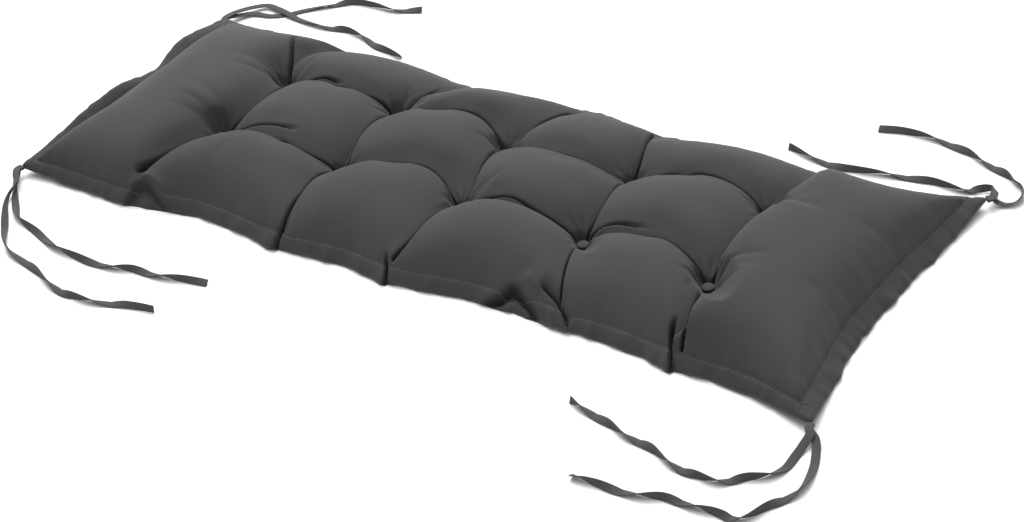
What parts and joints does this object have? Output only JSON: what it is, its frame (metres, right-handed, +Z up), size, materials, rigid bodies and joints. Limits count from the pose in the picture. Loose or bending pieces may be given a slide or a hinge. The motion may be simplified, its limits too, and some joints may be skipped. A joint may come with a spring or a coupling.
{
  "type": "bench cushion",
  "caption": "Tufted bench cushion of puffed panels drawn in at small covered buttons, with a sewn flange round its rim and long fabric ties at its corners.",
  "frame": {"origin": "on the floor under the middle of the cushion, measured without its ties", "axes": "+X along the cushion's length, +Y across it towards the far long side, +Z up out of the tufted face"},
  "size_m": [1.2274, 0.7507, 0.0816],
  "materials": {
    "cover_cloth": "matte dark grey plain-woven polyester",
    "button_cloth": "the cover's cloth stretched over a small button",
    "tie_cloth": "the cover's cloth folded into a narrow tape and stitched"
  },
  "bodies": {
    "root": {"cushion": "cover_cloth", "button_near_1": "button_cloth", "button_near_2": "button_cloth", "button_near_3": "button_cloth", "button_near_4": "button_cloth", "button_near_5": "button_cloth", "button_far_1": "button_cloth", "button_far_2": "button_cloth", "button_far_3": "button_cloth", "button_far_4": "button_cloth", "button_far_5": "button_cloth", "tie_near_left_a": "tie_cloth", "tie_near_left_b": "tie_cloth", "tie_far_left_a": "tie_cloth", "tie_far_left_b": "tie_cloth", "tie_far_right_a": "tie_cloth", "tie_far_right_b": "tie_cloth", "tie_near_right_a": "tie_cloth", "tie_near_right_b": "tie_cloth"}
  },
  "joints": []
}
